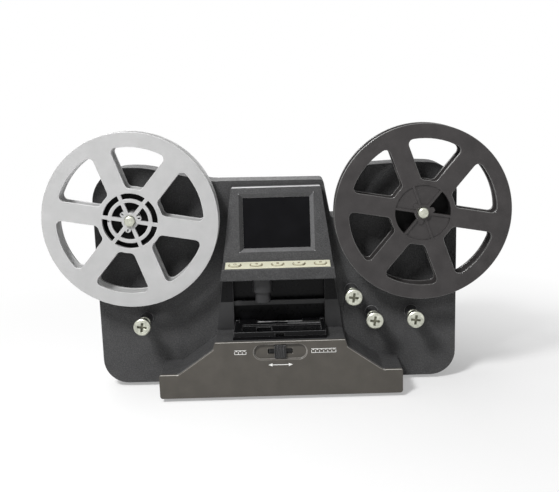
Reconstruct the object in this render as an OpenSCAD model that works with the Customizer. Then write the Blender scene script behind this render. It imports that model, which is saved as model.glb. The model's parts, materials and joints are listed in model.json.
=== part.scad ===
// Tabletop film scanner with two reels, a flip-up film gate and a small screen.
// X runs to the right, Y to the back and Z up. The origin is on the table,
// below the middle of the whole object. Inside the modules Y is counted from
// the front face of the tall plate, and at_plate() moves it into place.

/* [Reels] */
// Outer diameter of each reel
reel_d = 127; // [112:1:136]
// Width of each reel over both flanges
reel_w = 15; // [13.5:0.5:18]
// Thickness of each flange
flange_t = 2.4; // [1.6:0.2:3]
// Distance from the middle of the scanner to each spindle
reel_x = 105; // [102:0.5:116]
// Height of the spindles above the table
reel_z = 134; // [130:0.5:138]
// Gap from the plate to the rear flange
reel_gap = 9.6; // [8.5:0.1:12]
// Windows in each flange
window_count = 6; // [5:1:7]
// Radius at which the windows begin
window_in = 23.5; // [22.8:0.1:26]
// Radius at which the windows end
window_out = 53; // [48:0.5:54]
// Corner radius of the windows
window_round = 3.6; // [2:0.1:5]
// Width of the spokes between the windows
spoke_w = 14; // [10:0.5:18]
// Angle of the first window's middle
window_turn = 20; // [0:1:59]
// Outer diameter of the drum that the film winds on
drum_d = 44; // [42:0.5:45]
// Wall of the drum
drum_wall = 2; // [1.4:0.1:2.6]
// Width of the thin spokes inside the supply hub
hub_spoke_w = 2.7; // [1.8:0.1:3.6]
// Middle diameter of the ring inside the supply hub
hub_ring_d = 29.5; // [26:0.5:32]
// Width of the ring inside the supply hub
hub_ring_w = 2.7; // [1.8:0.1:3.6]
// Outer diameter of the boss round the bore
hub_boss_d = 12; // [11:0.5:14]
// Width of the ribs in the take-up hub
hub_rib_w = 1.7; // [1.2:0.1:2.6]
// Depth of the take-up hub's disc below the flange
hub_sunk = 1; // [0.6:0.1:1.2]

/* [Spindles] */
// Diameter of the spindles
spindle_d = 8; // [7:0.1:8.6]
// Length of the tip that stands in front of the reel
spindle_tip = 2.6; // [2:0.1:5]
// Diameter of the shoulder that the reel seats on
shoulder_d = 20; // [16:0.5:26]
// Thickness of the shoulder
shoulder_t = 3; // [2:0.1:4]
// Clearance of the reel's bore round the spindle
bore_gap = 0.1; // [0.05:0.01:0.2]
// Running clearance of every turning shaft, on the radius
run_gap = 0.05; // [0.02:0.01:0.1]
// Outer diameter of the spindle bushes
bush_d = 13; // [11.5:0.5:15]
// Play between the pieces that turn and their seats, along the axis
play = 0.3; // [0.2:0.05:0.5]

/* [Plate] */
// Room between the take-up gear and the inside of the rear cover
gear_room = 0.75; // [0.5:0.05:6]
// How much farther from the middle the left edge is than the right edge
left_extra = 2.5; // [0:0.5:6]
// Height of the underside above the table
plate_low = 3; // [2.5:0.1:5]
// Height of the left ear
ear_left_z = 170; // [167:0.5:174]
// Height of the right ear
ear_right_z = 168.4; // [166:0.5:172]
// Height of the plate behind the hood
tower_z = 157; // [155.5:0.5:160]
// Height of the bottom of the notch beside the hood
notch_z = 128.6; // [124:0.5:134]
// Width of the bottom of the notch
notch_w = 9; // [7:0.5:11]
// Radius of the plate's lower corners
plate_round = 19; // [12:0.5:24]
// Wall of the mouldings
wall = 2.4; // [2:0.1:2.8]
// Depth of the front cover's rim
rim_depth = 12; // [11:0.5:15]
// Depth of the rear cover
rear_depth = 46; // [44:0.5:54]
// Depth of the rear cover's wide part behind the rim
shoulder_depth = 10; // [8:0.5:14]
// Step from the rear cover's wide part in to its back
rear_step = 5; // [4:0.5:7]

/* [Base] */
// Distance of the front panel's face from the plate
base_depth = 36; // [35:0.5:40]
// Width of the base
base_w = 178; // [170:1:186]
// Height of the low ends of the base above the table
band_z = 20.8; // [18:0.2:23]
// Width of the panel where the slopes begin
slope_foot_w = 150; // [140:1:158]
// Width of the panel where the slopes end
slope_top_w = 98; // [97:0.5:102]
// Height where the slopes end
slope_top_z = 39; // [37:0.2:41]
// Height of the step in front of the film gate
step_z = 44.5; // [44.2:0.1:46]
// Thickness of the front panel
panel_t = 3.2; // [2.8:0.1:4]
// Diameter of the rubber feet
foot_d = 13; // [10:0.5:15]

/* [Select slider] */
// Length of the recess
select_w = 38.6; // [34:0.2:42]
// Height of the recess
select_h = 11.6; // [10.6:0.1:12]
// Height of the middle of the recess above the table
select_z = 36.6; // [35.8:0.1:37.6]
// Depth of the recess in the panel
select_depth = 2.2; // [1.6:0.1:2.4]
// Width of the knob
knob_w = 8.4; // [7:0.1:10]
// Height of the knob
knob_h = 9.6; // [8:0.1:10]
// Travel of the knob to each side
knob_travel = 5.5; // [4:0.1:7]
// Ribs on the knob
knob_ribs = 4; // [3:1:5]

/* [Hood] */
// Height of the top of the screen face
face_top_z = 153.7; // [152:0.1:155]
// Distance of the top of the screen face from the plate
face_top_y = 5; // [3:0.1:7]
// Height of the foot of the screen face
face_foot_z = 100.2; // [99:0.1:101.5]
// Distance of the foot of the screen face from the plate
face_foot_y = 18; // [16.5:0.1:19.5]
// Width of the hood at the top of the screen face
hood_top_w = 66; // [65:0.5:70]
// Width of the tower at the height of the step
hood_foot_w = 95; // [93:0.5:96.5]
// Distance of the lip from the plate
lip_y = 30.5; // [29.5:0.1:32]
// Height of the lip's front edge
lip_z = 97.4; // [96.6:0.1:98]
// Height of the lip's face
lip_h = 8.7; // [8:0.1:9.4]
// Width of the visible screen
screen_w = 48.6; // [46:0.2:50]
// Height of the visible screen
screen_h = 36.6; // [34:0.2:38]
// Distance of the screen's middle below the top of the face, along the face
screen_drop = 26.6; // [25.5:0.1:27.5]
// Width of the sloped frame round the screen
frame_w = 3.2; // [2.4:0.1:3.8]
// Thickness of the screen glass
glass_t = 1.2; // [0.8:0.1:1.6]
// Thickness of the screen module
module_t = 2.6; // [2:0.1:3.2]

/* [Buttons] */
// Number of buttons
button_count = 5; // [5:1:5]
// Spacing of the buttons
button_pitch = 15.5; // [13:0.1:16]
// Width of a button
button_w = 7.6; // [6.5:0.1:9]
// Depth of a button
button_d = 4.6; // [4:0.1:5]
// Height of a button above the strip
button_proud = 0.9; // [0.8:0.05:1.2]
// Travel of a button
button_travel = 0.5; // [0.4:0.05:0.6]
// Clearance round each button
button_gap = 0.3; // [0.25:0.05:0.4]
// Distance from the outer buttons to the strip's ends
strip_end = 3.2; // [2.6:0.1:3.6]
// Depth of the button strip
strip_d = 10.6; // [10:0.1:11]
// Thickness of the button strip
strip_t = 1; // [0.8:0.1:1.2]

/* [Film gate] */
// Half the width of the opening in the plate and the step
gate_half = 34.5; // [33.5:0.5:36]
// Height of the opening between the cheeks
gate_h = 18; // [16.5:0.1:18.6]
// Height of the rail over the opening
rail_h = 3.4; // [2.6:0.1:4]
// Distance that the cheeks beside the opening stand out from the plate
cheek_proud = 3; // [1.5:0.1:4]
// Height of the gate plate's top above the step
gate_proud = 1.5; // [1.2:0.1:1.8]
// Thickness of the gate plate
gate_t = 4; // [3.4:0.1:4.4]
// Gap for the film between the gate plate and the presser
film_gap = 0.4; // [0.3:0.05:0.6]
// Thickness of the presser
presser_t = 3.6; // [3.2:0.1:4]
// Diameter of the presser's hinge pin
pin_d = 2.4; // [2:0.1:2.6]
// Distance of the hinge behind the plate's face
hinge_y = 1; // [0.8:0.1:1.4]
// Width of the light window in the gate
aperture_w = 9; // [7:0.5:10]
// Depth of the light window in the gate
aperture_d = 7; // [6:0.5:7.5]
// Side clearance of the presser in the opening
gate_gap = 0.8; // [0.5:0.1:1.2]

/* [Optics] */
// Distance of the optical axis to the left of the middle
lens_left = 11.7; // [9:0.1:13]
// Outer diameter of the lens barrel's wide part
barrel_d = 15; // [14:0.2:16]
// Outer diameter of the lens barrel's narrow part
barrel_nose_d = 11.4; // [10.5:0.1:12.5]
// Height of the lens barrel's lower end above the table
barrel_low_z = 70.2; // [69.5:0.1:72]
// Height of the step between the wide and narrow parts
barrel_step_z = 78; // [76:0.1:80]
// Diameter of the lens
lens_d = 7; // [6:0.1:8]
// Thickness of the gate frame
frame_t = 2.2; // [1.8:0.1:2.4]
// Distance of the gate frame's wall behind the plate's face
frame_y = 6.5; // [6:0.1:7.5]

/* [Film guides] */
// Place of the left guide
guide_left_x = 101.2; // [98:0.1:104]
// Height of the three low guides
guide_low_z = 54.6; // [52:0.1:57]
// Place of the upper right guide
guide_high_x = 54.8; // [54.2:0.1:57]
// Height of the upper right guide
guide_high_z = 72.6; // [71.5:0.1:75]
// Place of the first low right guide
guide_near_x = 70; // [68.5:0.1:72]
// Place of the second low right guide
guide_far_x = 100; // [97:0.1:103]
// Diameter of the rollers
roller_d = 9; // [8:0.1:10]
// Diameter of the guide screws
screw_d = 4; // [3.5:0.1:5]
// Diameter of the guide screws' heads
head_d = 12.5; // [11.5:0.1:13.5]
// Thickness of the guide screws' heads
head_t = 2.6; // [2:0.1:3.2]

/* [Drive] */
// Tooth module of the gears
tooth_module = 1; // [0.9:0.05:1.1]
// Teeth on the take-up gear
gear_teeth = 40; // [36:1:44]
// Teeth on the motor pinion
pinion_teeth = 14; // [13:1:16]
// Width of the gears
gear_w = 6; // [5:0.5:7]
// Diameter of the motors
motor_d = 24; // [20:0.5:26]
// Length of the take-up motor
motor_len = 15; // [13:0.5:16]
// Diameter of the motor shafts
shaft_d = 3; // [2.5:0.1:3.4]

/* [Hidden] */
$fn = 48;

cut = 1;
touch = 0.2;
corner_step = 9;
min_round = 0.4;
skin = 0.02;
gate_lead = 0.4;
film_half = 4.2;
pivot_half = 3;
pivot_deep = 6;
depth_all = base_depth + rim_depth + rear_depth;
plate_y = base_depth - depth_all / 2;

// Levels and places that several pieces share
tooth_tip = 0.85;
tooth_root = 1.15;
gear_tip_r = tooth_module * (gear_teeth / 2 + tooth_tip);
plate_right = reel_x + gear_tip_r + gear_room + wall + rear_step;
plate_left = plate_right + left_extra;
film_y = -(reel_gap + reel_w / 2);
reel_front_y = -(reel_gap + reel_w);
back_y = rim_depth + rear_depth;
face_lean = atan2(face_foot_y - face_top_y, face_top_z - face_foot_z);
ledge_tilt = atan2(face_foot_z - lip_z, lip_y - face_foot_y);
hood_low_z = lip_z - lip_h;
gate_z = step_z + gate_proud;
presser_z = gate_z + film_gap;
presser_top = presser_z + presser_t;
rail_z = step_z + gate_h;
base_front = -(base_depth - panel_t);
gate_front = -(base_depth - panel_t - wall - gate_lead);
hinge_z = presser_z + presser_t / 2;
lens_x = -lens_left;

function tower_half(z) = hood_top_w / 2
    + (hood_foot_w - hood_top_w) / 2 * (face_top_z - z) / (face_top_z - step_z);

guide_places = [[-guide_left_x, guide_low_z], [guide_high_x, guide_high_z],
                [guide_near_x, guide_low_z], [guide_far_x, guide_low_z]];
roller_len = reel_w - 2 * flange_t;
roller_back = film_y + roller_len / 2;
boss_front = roller_back + play;
head_back = film_y - roller_len / 2 - play;

// Outlines as corner lists of [x, z, radius], anticlockwise from the front
ear_drop_right = 2;
ear_round_right = 22;
crown_right = 34;
crown_round_right = 80;
ear_drop_notch = 1.6;
ear_round_notch = 10;
notch_slope = 18;
notch_lean = 5;
notch_gap = 4;
notch_round = 4;
tower_round = 3;
tower_over = 2.6;
dip_x = 15;
dip_rise = 1;
dip_round = 40;
crown_left = 38;
crown_drop_left = 0.3;
crown_round_left = 60;
ear_round_left = 26;
base_round = 2;
band_round = 1;
slope_round = 3;
plate_corners = [
    [-plate_left, plate_low, plate_round], [plate_right, plate_low, plate_round],
    [plate_right, ear_right_z - ear_drop_right, ear_round_right],
    [plate_right - crown_right, ear_right_z, crown_round_right],
    [tower_half(notch_z) + notch_w + notch_slope, ear_right_z - ear_drop_notch, ear_round_notch],
    [tower_half(notch_z) + notch_w + notch_lean, notch_z, notch_round],
    [tower_half(notch_z) + notch_gap, notch_z, tower_round],
    [tower_half(tower_z) + tower_over, tower_z, tower_round],
    [-tower_half(tower_z) - dip_x, tower_z + dip_rise, dip_round],
    [-plate_left + crown_left, ear_left_z - crown_drop_left, crown_round_left],
    [-plate_left, ear_left_z, ear_round_left]];
back_corners = [for (c = inset(plate_corners, rear_step)) [c.x, c.y < plate_round ? plate_low : c.y, c[2]]];
base_corners = [
    [-base_w / 2, plate_low, base_round], [base_w / 2, plate_low, base_round],
    [base_w / 2, band_z, band_round], [slope_foot_w / 2, band_z, slope_round],
    [slope_top_w / 2, slope_top_z, base_round], [hood_foot_w / 2, step_z, band_round],
    [-hood_foot_w / 2, step_z, band_round], [-slope_top_w / 2, slope_top_z, base_round],
    [-slope_foot_w / 2, band_z, slope_round], [-base_w / 2, band_z, band_round]];

// Functions for outlines
function flat(c) = [c[0], c[1]];
function unit(v) = v / norm(v);
function left_of(v) = [-v.y, v.x];
function turned(v, a) = [v.x * cos(a) - v.y * sin(a), v.x * sin(a) + v.y * cos(a)];
function polar(r, a) = [r * cos(a), r * sin(a)];
function arc(c, r, a, b, n) = [for (i = [0:n]) c + polar(r, a + (b - a) * i / n)];
function inset(c, d) = [for (i = [0:len(c) - 1])
    let (n = len(c),
         e = unit(flat(c[i]) - flat(c[(i + n - 1) % n])),
         f = unit(flat(c[(i + 1) % n]) - flat(c[i])),
         m = flat(c[i]) + d * (left_of(e) + left_of(f)) / (1 + left_of(e) * left_of(f)),
         side = cross(e, f) > 0 ? 1 : -1)
    [m.x, m.y, max(c[i][2] - side * d, min_round)]];
function bend(p, q, s, r) =
    let (e = unit(q - p),
         f = unit(s - q),
         turn = atan2(cross(e, f), e * f),
         back = r * tan(abs(turn) / 2),
         start = q - e * back,
         centre = start + sign(turn) * r * left_of(e),
         n = max(2, ceil(abs(turn) / corner_step)))
    [for (k = [0:n]) centre + turned(start - centre, turn * k / n)];
function rounded(c) = [for (i = [0:len(c) - 1])
    let (n = len(c))
    each bend(flat(c[(i + n - 1) % n]), flat(c[i]), flat(c[(i + 1) % n]), c[i][2])];

// Outline of one reel window, symmetric about angle 0
function window_half(half_turn, h, r) =
    let (ao = half_turn - asin((h + r) / (window_out - r)),
         ai = half_turn - asin((h + r) / (window_in + r)))
    concat(arc([0, 0], window_out, 0, ao, 4),
           arc(polar(window_out - r, ao), r, ao, half_turn + 90, 5),
           arc(polar(window_in + r, ai), r, half_turn + 90, ai + 180, 4),
           [polar(window_in, ai / 2), [window_in, 0]]);
function mirrored(p) = [for (i = [len(p) - 2:-1:1]) [p[i].x, -p[i].y]];

// Outline of an involute gear with a little backlash
function involute(rb, r) = let (t = sqrt(max(0, pow(r / rb, 2) - 1))) t * 180 / PI - atan(t);
function tooth(m, n, pressure, slack) =
    let (rp = m * n / 2,
         rb = rp * cos(pressure),
         ro = rp + tooth_tip * m,
         ri = rp - tooth_root * m,
         half = 90 / n - slack * 90 / PI / rp + involute(rb, rp),
         low = max(rb, ri))
    concat([polar(ri, -180 / n), polar(ri, -half)],
           [for (i = [0:3]) let (r = low + (ro - low) * i / 3) polar(r, -half + involute(rb, r))],
           [for (i = [3:-1:0]) let (r = low + (ro - low) * i / 3) polar(r, half - involute(rb, r))],
           [polar(ri, half)]);
function gear_outline(m, n, pressure, slack) =
    [for (k = [0:n - 1]) each [for (p = tooth(m, n, pressure, slack)) turned(p, 360 * k / n)]];

// Frames and small tools
module at_plate() {
    translate([0, plate_y, 0]) children();
}
module along_y(y, len) {
    translate([0, y + len, 0]) rotate([90, 0, 0]) linear_extrude(len) children();
}
module along_x(x, len) {
    translate([x, 0, 0]) rotate([90, 0, 90]) linear_extrude(len) children();
}
module rod_y(x, y, z, d, len) {
    translate([x, y + len, z]) rotate([90, 0, 0]) cylinder(d = d, h = len);
}
module slab(corners, y, len) {
    along_y(y, len) polygon(rounded(corners));
}
module block(x0, x1, y0, y1, z0, z1) {
    translate([x0, y0, z0]) cube([x1 - x0, y1 - y0, z1 - z0]);
}
module stadium(w, h) {
    square([w - h, h], center = true);
    translate([(w - h) / 2, 0]) circle(d = h);
    translate([-(w - h) / 2, 0]) circle(d = h);
}
// Local frame on the screen face: Y 0 is the face, Z runs up the face
module on_face() {
    translate([0, -face_top_y, face_top_z]) rotate([-face_lean, 0, 0]) children();
}
// Local frame on the button ledge: Z 0 is its surface
module on_ledge() {
    translate([0, -(face_foot_y + lip_y) / 2, (face_foot_z + lip_z) / 2])
        rotate([ledge_tilt, 0, 0]) children();
}

// Housing
screw_places = [[-116, 24], [114, 24], [-114, 98], [112, 84], [-62, 138], [80, 142]];
screw_boss_d = 9;
boss_over = 0.6;
cover_screw_d = 3;
cover_head_d = 6;
cover_head_t = 2.2;
sunk_head = 4;
bottom_margin = 9;
pad_d = 6;
pad_x = gate_half + 4.5;
pad_rise = 6;
pad_low_z = step_z + pad_rise;
pad_high_z = rail_z + 16;
bush_flange_t = 1.5;
bush_back = rim_depth;
bush_boss_d = bush_d + 2 * wall;

module bush_holes() {
    for (s = [-1, 1]) rod_y(s * reel_x, -cut, reel_z, bush_d + touch, bush_back + 2 * cut);
}
cheek_corners = [
    [-tower_half(step_z), step_z + touch, min_round], [tower_half(step_z), step_z + touch, min_round],
    [tower_half(hood_low_z), hood_low_z - touch, min_round],
    [-tower_half(hood_low_z), hood_low_z - touch, min_round]];
module plate_shell() {
    difference() {
        slab(plate_corners, 0, rim_depth);
        slab(inset(plate_corners, wall), wall, rim_depth);
    }
}
module base_shell() {
    difference() {
        slab(base_corners, base_front, -base_front);
        slab(inset(base_corners, wall), base_front + wall, -base_front - wall + cut);
    }
}
module gate_openings() {
    block(-gate_half, gate_half, gate_front, wall + cut, step_z - wall - cut, rail_z);
    block(-gate_half, gate_half, -cut, wall + cut, plate_low + 2 * wall, step_z);
    block(-gate_half, gate_half, -cheek_proud - cut, wall + cut, rail_z + rail_h, hood_low_z - wall);
    block(-gate_half, gate_half, -cheek_proud - cut, 0, rail_z - cut, rail_z + rail_h + cut);
    block(-hood_top_w / 2 + 2 * wall, hood_top_w / 2 - 2 * wall, -cut, wall + cut,
          hood_low_z + wall, face_top_z - 2 * wall);
}
module bottom_opening(gap) {
    block(-base_w / 2 + bottom_margin + gap, base_w / 2 - bottom_margin - gap,
          base_front + 2 * wall + gap, -wall - gap, plate_low, plate_low + wall);
}
module front_cover() color([0.16, 0.16, 0.16]) at_plate() {
    difference() {
        union() {
            plate_shell();
            slab(cheek_corners, -cheek_proud, cheek_proud + wall / 2);
            for (s = [-1, 1]) rod_y(s * reel_x, wall / 2, reel_z, bush_boss_d, bush_back - wall / 2);
            for (g = guide_places) rod_y(g.x, boss_front, g.y, roller_d + boss_over, wall / 2 - boss_front);
            for (s = [-1, 1], z = [pad_low_z, pad_high_z])
                rod_y(s * pad_x, wall / 2, z, pad_d, frame_y - wall / 2);
            for (p = screw_places) rod_y(p.x, wall / 2, p.y, screw_boss_d, rim_depth - wall / 2);
        }
        bush_holes();
        gate_openings();
        for (g = guide_places) rod_y(g.x, boss_front - cut, g.y, screw_d + touch, cut - boss_front);
        for (p = screw_places) rod_y(p.x, 2 * wall, p.y, cover_screw_d + touch, rim_depth);
    }
}
module base_cover() color([0.16, 0.16, 0.16]) at_plate() difference() {
    base_shell();
    gate_openings();
    translate([0, 0, -cut]) bottom_opening(0);
    bottom_opening(0);
    translate([0, 0, select_z]) along_y(base_front - cut, wall + 2 * cut) stadium(select_w, select_h);
}

// Main board and its sockets, seen from behind
board_w = 84;
board_h = 52;
board_t = 1.6;
board_x = -18;
board_z = 52;
board_gap = 8;
board_back = back_y - wall - board_gap;
post_d = 6;
card_w = 28;
card_h = 4;
data_w = 9;
data_h = 4.6;
card_rim_w = 1.5;
card_rim_h = 0.8;
data_rim = 0.7;
power_w = 9.6;
power_h = 11;
power_hole_d = 6;
socket_gap = 0.3;
socket_back = 0.5;
card_x = board_x + 22;
data_x = board_x - 2;
power_x = board_x - 22;
module socket_block(x, w, h, gap) {
    block(x - w / 2 - gap, x + w / 2 + gap, board_back, back_y - socket_back, board_z - h / 2 - gap,
          board_z + h / 2 + gap);
}
module board_posts(d, y, len) {
    for (s = [-1, 1], t = [-1, 1])
        rod_y(board_x + s * (board_w / 2 - post_d), y, board_z + t * (board_h / 2 - post_d), d, len);
}
module rear_cover() color([0.13, 0.13, 0.13]) at_plate() {
    difference() {
        union() {
            difference() {
                union() {
                    slab(plate_corners, rim_depth, shoulder_depth);
                    slab(back_corners, rim_depth, rear_depth);
                }
                slab(inset(plate_corners, wall), rim_depth - cut, shoulder_depth - wall + cut);
                slab(inset(back_corners, wall), rim_depth - cut, rear_depth - wall + cut);
            }
            for (p = screw_places) rod_y(p.x, rim_depth, p.y, screw_boss_d, rear_depth - wall / 2);
            board_posts(post_d, board_back, board_gap + wall / 2);
        }
        for (p = screw_places) rod_y(p.x, rim_depth - cut, p.y, cover_screw_d + touch, rear_depth + 2 * cut);
        for (p = screw_places) rod_y(p.x, back_y - sunk_head, p.y, cover_head_d + 2 * touch, rear_depth);
        for (a = [[card_x, card_w, card_h], [data_x, data_w, data_h], [power_x, power_w, power_h]])
            translate([0, cut, 0]) socket_block(a[0], a[1], a[2], socket_gap);
    }
}
module cover_screws() color("silver") at_plate() {
    for (p = screw_places) {
        rod_y(p.x, 3 * wall, p.y, cover_screw_d, back_y - sunk_head - 3 * wall);
        rod_y(p.x, back_y - sunk_head, p.y, cover_head_d, cover_head_t);
    }
}
module bottom_cover() color([0.13, 0.13, 0.13]) at_plate() bottom_opening(touch);
foot_round = 0.8;
foot_margin = 14;
module feet() color([0.08, 0.08, 0.08]) at_plate() {
    for (s = [-1, 1], p = [[base_w / 2 - foot_margin - foot_d / 2, base_front + foot_margin],
                           [plate_right - rear_step - 2 * foot_margin, back_y - foot_margin]])
        translate([s * p.x, p.y, 0]) {
            cylinder(d1 = foot_d - 2 * foot_round, d2 = foot_d, h = foot_round);
            translate([0, 0, foot_round]) cylinder(d = foot_d, h = plate_low - foot_round);
        }
}

// Front panel and the select slider
stem_w = knob_w - 2;
stem_h = 3.4;
slide_w = stem_w + 10;
slide_h = select_h - 2;
slide_t = wall - 3 * play;
knob_rib = 0.9;
switch_w = select_w + 8;
switch_h = select_h + 2;
switch_t = 1.5;
module front_panel() color([0.36, 0.34, 0.32]) at_plate() {
    difference() {
        slab(base_corners, -base_depth, panel_t);
        translate([0, 0, select_z]) along_y(-base_depth - cut, select_depth + cut)
            stadium(select_w, select_h);
        block(-stem_w / 2 - knob_travel - play, stem_w / 2 + knob_travel + play, -base_depth, 0,
              select_z - stem_h / 2 - play, select_z + stem_h / 2 + play);
    }
}
module select_slider() color([0.06, 0.06, 0.06]) at_plate() {
    pitch = knob_w / knob_ribs;
    difference() {
        block(-knob_w / 2, knob_w / 2, -base_depth + touch, -base_depth + select_depth - play,
              select_z - knob_h / 2, select_z + knob_h / 2);
        for (i = [1:knob_ribs - 1])
            block(-knob_w / 2 + i * pitch - knob_rib / 2, -knob_w / 2 + i * pitch + knob_rib / 2,
                  -base_depth, -base_depth + knob_rib, 0, step_z);
    }
    block(-stem_w / 2, stem_w / 2, -base_depth + select_depth / 2, base_front + 2 * play,
          select_z - stem_h / 2, select_z + stem_h / 2);
    block(-slide_w / 2, slide_w / 2, base_front + play, base_front + play + slide_t,
          select_z - slide_h / 2, select_z + slide_h / 2);
}
module select_switch() color([0.25, 0.25, 0.27]) at_plate() {
    block(-switch_w / 2, switch_w / 2, base_front + wall, base_front + wall + switch_t,
          select_z - switch_h / 2 - 1, select_z + switch_h / 2 - 2);
    block(-switch_w / 4, switch_w / 4, base_front + wall, base_front + wall + 3 * switch_t,
          select_z - switch_h / 2, select_z + switch_h / 4);
}

// Hood with the screen and the buttons
hood_top_z = face_top_z + 0.4;
function hood_side(back) = [
    [-lip_y, hood_low_z, 1], [back, hood_low_z, min_round], [back, hood_top_z, min_round],
    [-face_top_y, face_top_z, 1.5], [-face_foot_y, face_foot_z, min_round], [-lip_y, lip_z, 1]];
hood_front = [
    [-tower_half(hood_low_z), hood_low_z, min_round], [tower_half(hood_low_z), hood_low_z, min_round],
    [tower_half(hood_top_z), hood_top_z, 3], [-tower_half(hood_top_z), hood_top_z, 3]];
strip_w = (button_count - 1) * button_pitch + button_w + 2 * strip_end;
strip_sunk = 0.5;
strip_top = strip_t - strip_sunk;
button_flange_t = 0.6;
button_flange = 0.8;
flange_top = -wall - play;
switch_top = flange_top - button_flange_t - button_travel - play / 3;
switch_tall = 0.5;
board_top = switch_top - switch_tall;
thin_board = 1;
rest_d = 4;
lens_gap = 0.2;
module hood_form(side, front) {
    intersection() {
        along_x(-hood_foot_w, 2 * hood_foot_w) polygon(rounded(side));
        slab(front, -2 * lip_y, 3 * lip_y);
    }
}
module screen_opening() {
    on_face() translate([0, 0, -screen_drop]) hull() {
        cube([screen_w + 2 * frame_w, skin, screen_h + 2 * frame_w], center = true);
        translate([0, wall, 0]) cube([screen_w, skin, screen_h], center = true);
    }
}
module button_outlines(grow) {
    for (i = [0:button_count - 1])
        translate([(i - (button_count - 1) / 2) * button_pitch, 0])
            stadium(button_w + 2 * grow, button_d + 2 * grow);
}
module hood() color([0.2, 0.2, 0.2]) at_plate() {
    difference() {
        union() {
            difference() {
                hood_form(hood_side(0), hood_front);
                hood_form(inset(hood_side(4 * wall), wall), inset(hood_front, wall));
            }
            intersection() {
                on_ledge() for (s = [-1, 1]) translate([s * 1.5 * button_pitch, 0, board_top])
                    cylinder(d = rest_d, h = -board_top - wall / 2);
                hood_form(hood_side(0), hood_front);
            }
        }
        screen_opening();
        on_ledge() {
            translate([-strip_w / 2 - touch / 2, -strip_d / 2 - touch / 2, -strip_sunk])
                cube([strip_w + touch, strip_d + touch, 2 * strip_t]);
            translate([0, 0, -2 * wall]) linear_extrude(4 * wall) button_outlines(button_gap);
        }
        translate([lens_x, film_y, hood_low_z - cut])
            cylinder(d = barrel_d + 2 * lens_gap, h = wall + 2 * cut);
    }
}
module screen_slab(margin, y, t) {
    on_face() translate([0, y + t / 2, -screen_drop])
        cube([screen_w + 2 * margin, t, screen_h + 2 * margin], center = true);
}
module screen_glass() color([0.03, 0.03, 0.04]) at_plate() screen_slab(1.6, wall, glass_t);
module screen_module() color([0.3, 0.3, 0.32]) at_plate() screen_slab(1.6, wall + glass_t, module_t);
module button_strip() color([0.85, 0.84, 0.74]) at_plate() on_ledge() difference() {
    translate([-strip_w / 2, -strip_d / 2, -strip_sunk]) cube([strip_w, strip_d, strip_t]);
    translate([0, 0, -strip_t]) linear_extrude(3 * strip_t) button_outlines(button_gap);
}
module button(i) color([0.8, 0.78, 0.66]) at_plate() on_ledge()
    translate([(i - (button_count + 1) / 2) * button_pitch, 0, 0]) {
        translate([0, 0, flange_top - button_flange_t])
            linear_extrude(strip_top + button_proud - flange_top + button_flange_t)
                stadium(button_w, button_d);
        translate([0, 0, flange_top - button_flange_t]) linear_extrude(button_flange_t)
            stadium(button_w + 2 * button_flange, button_d + 2 * button_flange);
    }
module button_board() color([0.1, 0.35, 0.2]) at_plate() on_ledge() {
    translate([-strip_w / 2 + strip_end, -strip_d / 2 + wall / 2, board_top - thin_board])
        cube([strip_w - 2 * strip_end, strip_d - wall, thin_board]);
    for (i = [0:button_count - 1]) translate([(i - (button_count - 1) / 2) * button_pitch, 0, board_top])
        cylinder(d = button_d - 1, h = switch_tall);
}

// Camera under the hood
barrel_top = hood_low_z + wall;
barrel_flange_t = 1;
barrel_bore = barrel_nose_d - 2.4;
sensor_t = 0.8;
lens_rim = 0.8;
lens_edge_t = 1.6;
module lens_barrel() color([0.07, 0.07, 0.07]) at_plate() translate([lens_x, film_y, 0]) difference() {
    union() {
        translate([0, 0, barrel_low_z]) cylinder(d = barrel_nose_d, h = barrel_top - barrel_low_z);
        translate([0, 0, barrel_step_z]) cylinder(d = barrel_d, h = barrel_top - barrel_step_z);
        translate([0, 0, barrel_top]) cylinder(d = barrel_d + 3, h = barrel_flange_t);
    }
    translate([0, 0, barrel_low_z + lens_rim + lens_edge_t]) cylinder(d = barrel_bore, h = barrel_top);
    translate([0, 0, barrel_low_z + lens_rim]) cylinder(d = lens_d + touch, h = barrel_top);
    translate([0, 0, barrel_low_z - cut]) cylinder(d = lens_d - 1, h = barrel_top);
    translate([0, 0, barrel_top + barrel_flange_t - sensor_t]) cylinder(d = barrel_d - 2, h = barrel_top);
}
module lens_glass() color([0.5, 0.6, 0.7]) at_plate() translate([lens_x, film_y, barrel_low_z + lens_rim])
    rotate_extrude() polygon(concat([[0, 0], [lens_d / 2, 0], [lens_d / 2, lens_edge_t]],
        [for (i = [1:6]) [lens_d / 2 * (1 - i / 6), lens_edge_t + 0.8 * (1 - pow(1 - i / 6, 2))]]));
module sensor_board() color([0.1, 0.35, 0.2]) at_plate()
    translate([lens_x, film_y, barrel_top + barrel_flange_t - sensor_t])
        cylinder(d = barrel_d - 2 - touch, h = sensor_t);

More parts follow.
